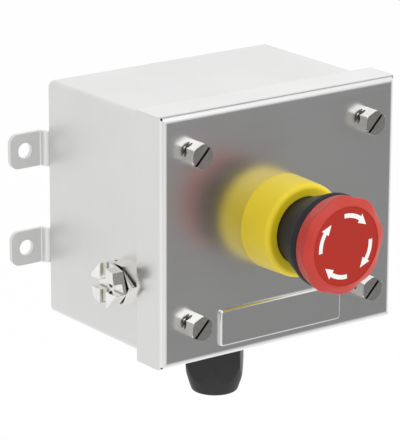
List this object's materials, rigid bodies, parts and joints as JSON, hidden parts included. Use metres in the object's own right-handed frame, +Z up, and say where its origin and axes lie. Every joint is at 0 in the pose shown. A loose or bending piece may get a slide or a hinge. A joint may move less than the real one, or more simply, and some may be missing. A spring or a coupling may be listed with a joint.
{
  "type": "emergency stop station",
  "caption": "Wall-mounted emergency stop station: folded steel box with screwed cover, red mushroom button on a yellow collar, earth terminal and cable gland.",
  "frame": {"origin": "centre of the four wall holes, in the plane of the straps' wall faces", "axes": "+Z up, -Y out of the wall towards the user (the button points along -Y), +X to the right seen from the front"},
  "size_m": [0.155, 0.1375, 0.1444],
  "materials": {
    "box_steel": "brushed",
    "cover_steel": "brushed",
    "bright_steel": "satin",
    "spring_steel": "satin",
    "zinc": "satin",
    "brass": "satin",
    "yellow_plastic": "satin",
    "red_plastic": "satin",
    "red_disc": "matt",
    "white_inlay": "matt",
    "black_rubber": "matt",
    "black_plastic": "matt",
    "grey_plastic": "matt",
    "foam": "matt"
  },
  "bodies": {
    "base": {"enclosure_box": "box_steel", "screw_posts": "bright_steel", "mounting_strap_upper": "box_steel", "mounting_strap_lower": "box_steel", "earth_terminal": "bright_steel", "earth_washer": "bright_steel", "earth_spring_washer": "spring_steel", "earth_nut": "bright_steel", "gland_body": "black_plastic", "gland_washer": "foam", "gland_lock_nut": "black_plastic", "gland_seal": "black_rubber", "gland_basket": "black_plastic", "terminal_rail": "zinc", "rail_screws": "zinc", "rail_terminals": "grey_plastic", "rail_terminal_screws": "brass"},
    "cover_assembly": {"cover": "cover_steel", "cover_gasket": "foam", "label_plate": "cover_steel", "screw_seal_rings": "black_rubber", "screw_retaining_rings": "spring_steel", "button_collar": "yellow_plastic", "panel_seal": "black_rubber", "actuator_barrel": "zinc", "barrel_lock_washer": "zinc", "barrel_nut": "zinc", "return_spring": "spring_steel", "button_gaiter": "black_rubber", "contact_carrier": "black_plastic", "contact_block_left": "grey_plastic", "contact_block_right": "grey_plastic", "contact_lid_left": "grey_plastic", "contact_lid_right": "grey_plastic", "contact_spring_left": "spring_steel", "contact_spring_right": "spring_steel", "fixed_contacts": "brass", "contact_terminal_screws": "zinc"},
    "push_assembly": {"push_stem": "black_plastic", "latch_ring": "spring_steel", "pusher": "black_plastic", "head_clip": "spring_steel"},
    "twist_head": {"button_head": "red_plastic", "button_disc": "red_disc", "arrow_inlays": "white_inlay"},
    "moving_contact_left": {"contact_plunger_left": "black_plastic", "contact_bridge_left": "brass"},
    "moving_contact_right": {"contact_plunger_right": "black_plastic", "contact_bridge_right": "brass"},
    "gland_nut": {"gland_dome_nut": "black_plastic"},
    "earth_screw": {"earth_clamp_screw": "bright_steel"},
    "screw_top_left": {"cover_screw_top_left": "bright_steel"},
    "screw_top_right": {"cover_screw_top_right": "bright_steel"},
    "screw_bottom_left": {"cover_screw_bottom_left": "bright_steel"},
    "screw_bottom_right": {"cover_screw_bottom_right": "bright_steel"}
  },
  "joints": [
    {"name": "cover_lift_off", "type": "slide", "parent": "base", "child": "cover_assembly", "axis": [0, -1, 0], "range_m": [0, 0.06]},
    {"name": "button_push", "type": "slide", "parent": "cover_assembly", "child": "push_assembly", "axis": [0, 1, 0], "range_m": [0, 0.005], "deforming": ["return_spring", "button_gaiter"]},
    {"name": "button_twist", "type": "hinge", "parent": "push_assembly", "child": "twist_head", "pos_m": [0, -0.13, 0], "axis": [0, 1, 0], "range_deg": [0, 45], "stiffness_Nm_per_rad": 0.05},
    {"name": "contact_open_left", "type": "slide", "parent": "cover_assembly", "child": "moving_contact_left", "axis": [0, 1, 0], "range_m": [0, 0.005], "deforming": ["contact_spring_left"]},
    {"name": "contact_open_right", "type": "slide", "parent": "cover_assembly", "child": "moving_contact_right", "axis": [0, 1, 0], "range_m": [0, 0.005], "deforming": ["contact_spring_right"]},
    {"name": "screw_turn_top_left", "type": "hinge", "parent": "cover_assembly", "child": "screw_top_left", "pos_m": [-0.046, -0.093, 0.0375], "axis": [0, 1, 0], "continuous": true},
    {"name": "screw_turn_top_right", "type": "hinge", "parent": "cover_assembly", "child": "screw_top_right", "pos_m": [0.046, -0.093, 0.0375], "axis": [0, 1, 0], "continuous": true},
    {"name": "screw_turn_bottom_left", "type": "hinge", "parent": "cover_assembly", "child": "screw_bottom_left", "pos_m": [-0.046, -0.093, -0.0375], "axis": [0, 1, 0], "continuous": true},
    {"name": "screw_turn_bottom_right", "type": "hinge", "parent": "cover_assembly", "child": "screw_bottom_right", "pos_m": [0.046, -0.093, -0.0375], "axis": [0, 1, 0], "continuous": true},
    {"name": "gland_nut_turn", "type": "hinge", "parent": "base", "child": "gland_nut", "pos_m": [0, -0.0464, -0.076], "axis": [0, 0, 1], "continuous": true},
    {"name": "earth_screw_turn", "type": "hinge", "parent": "base", "child": "earth_screw", "pos_m": [-0.064, -0.0641, -0.0228], "axis": [1, 0, 0], "continuous": true}
  ],
  "couplings": [
    {"joint": "contact_open_left", "follows": "button_push", "ratio": 1},
    {"joint": "contact_open_right", "follows": "button_push", "ratio": 1}
  ]
}
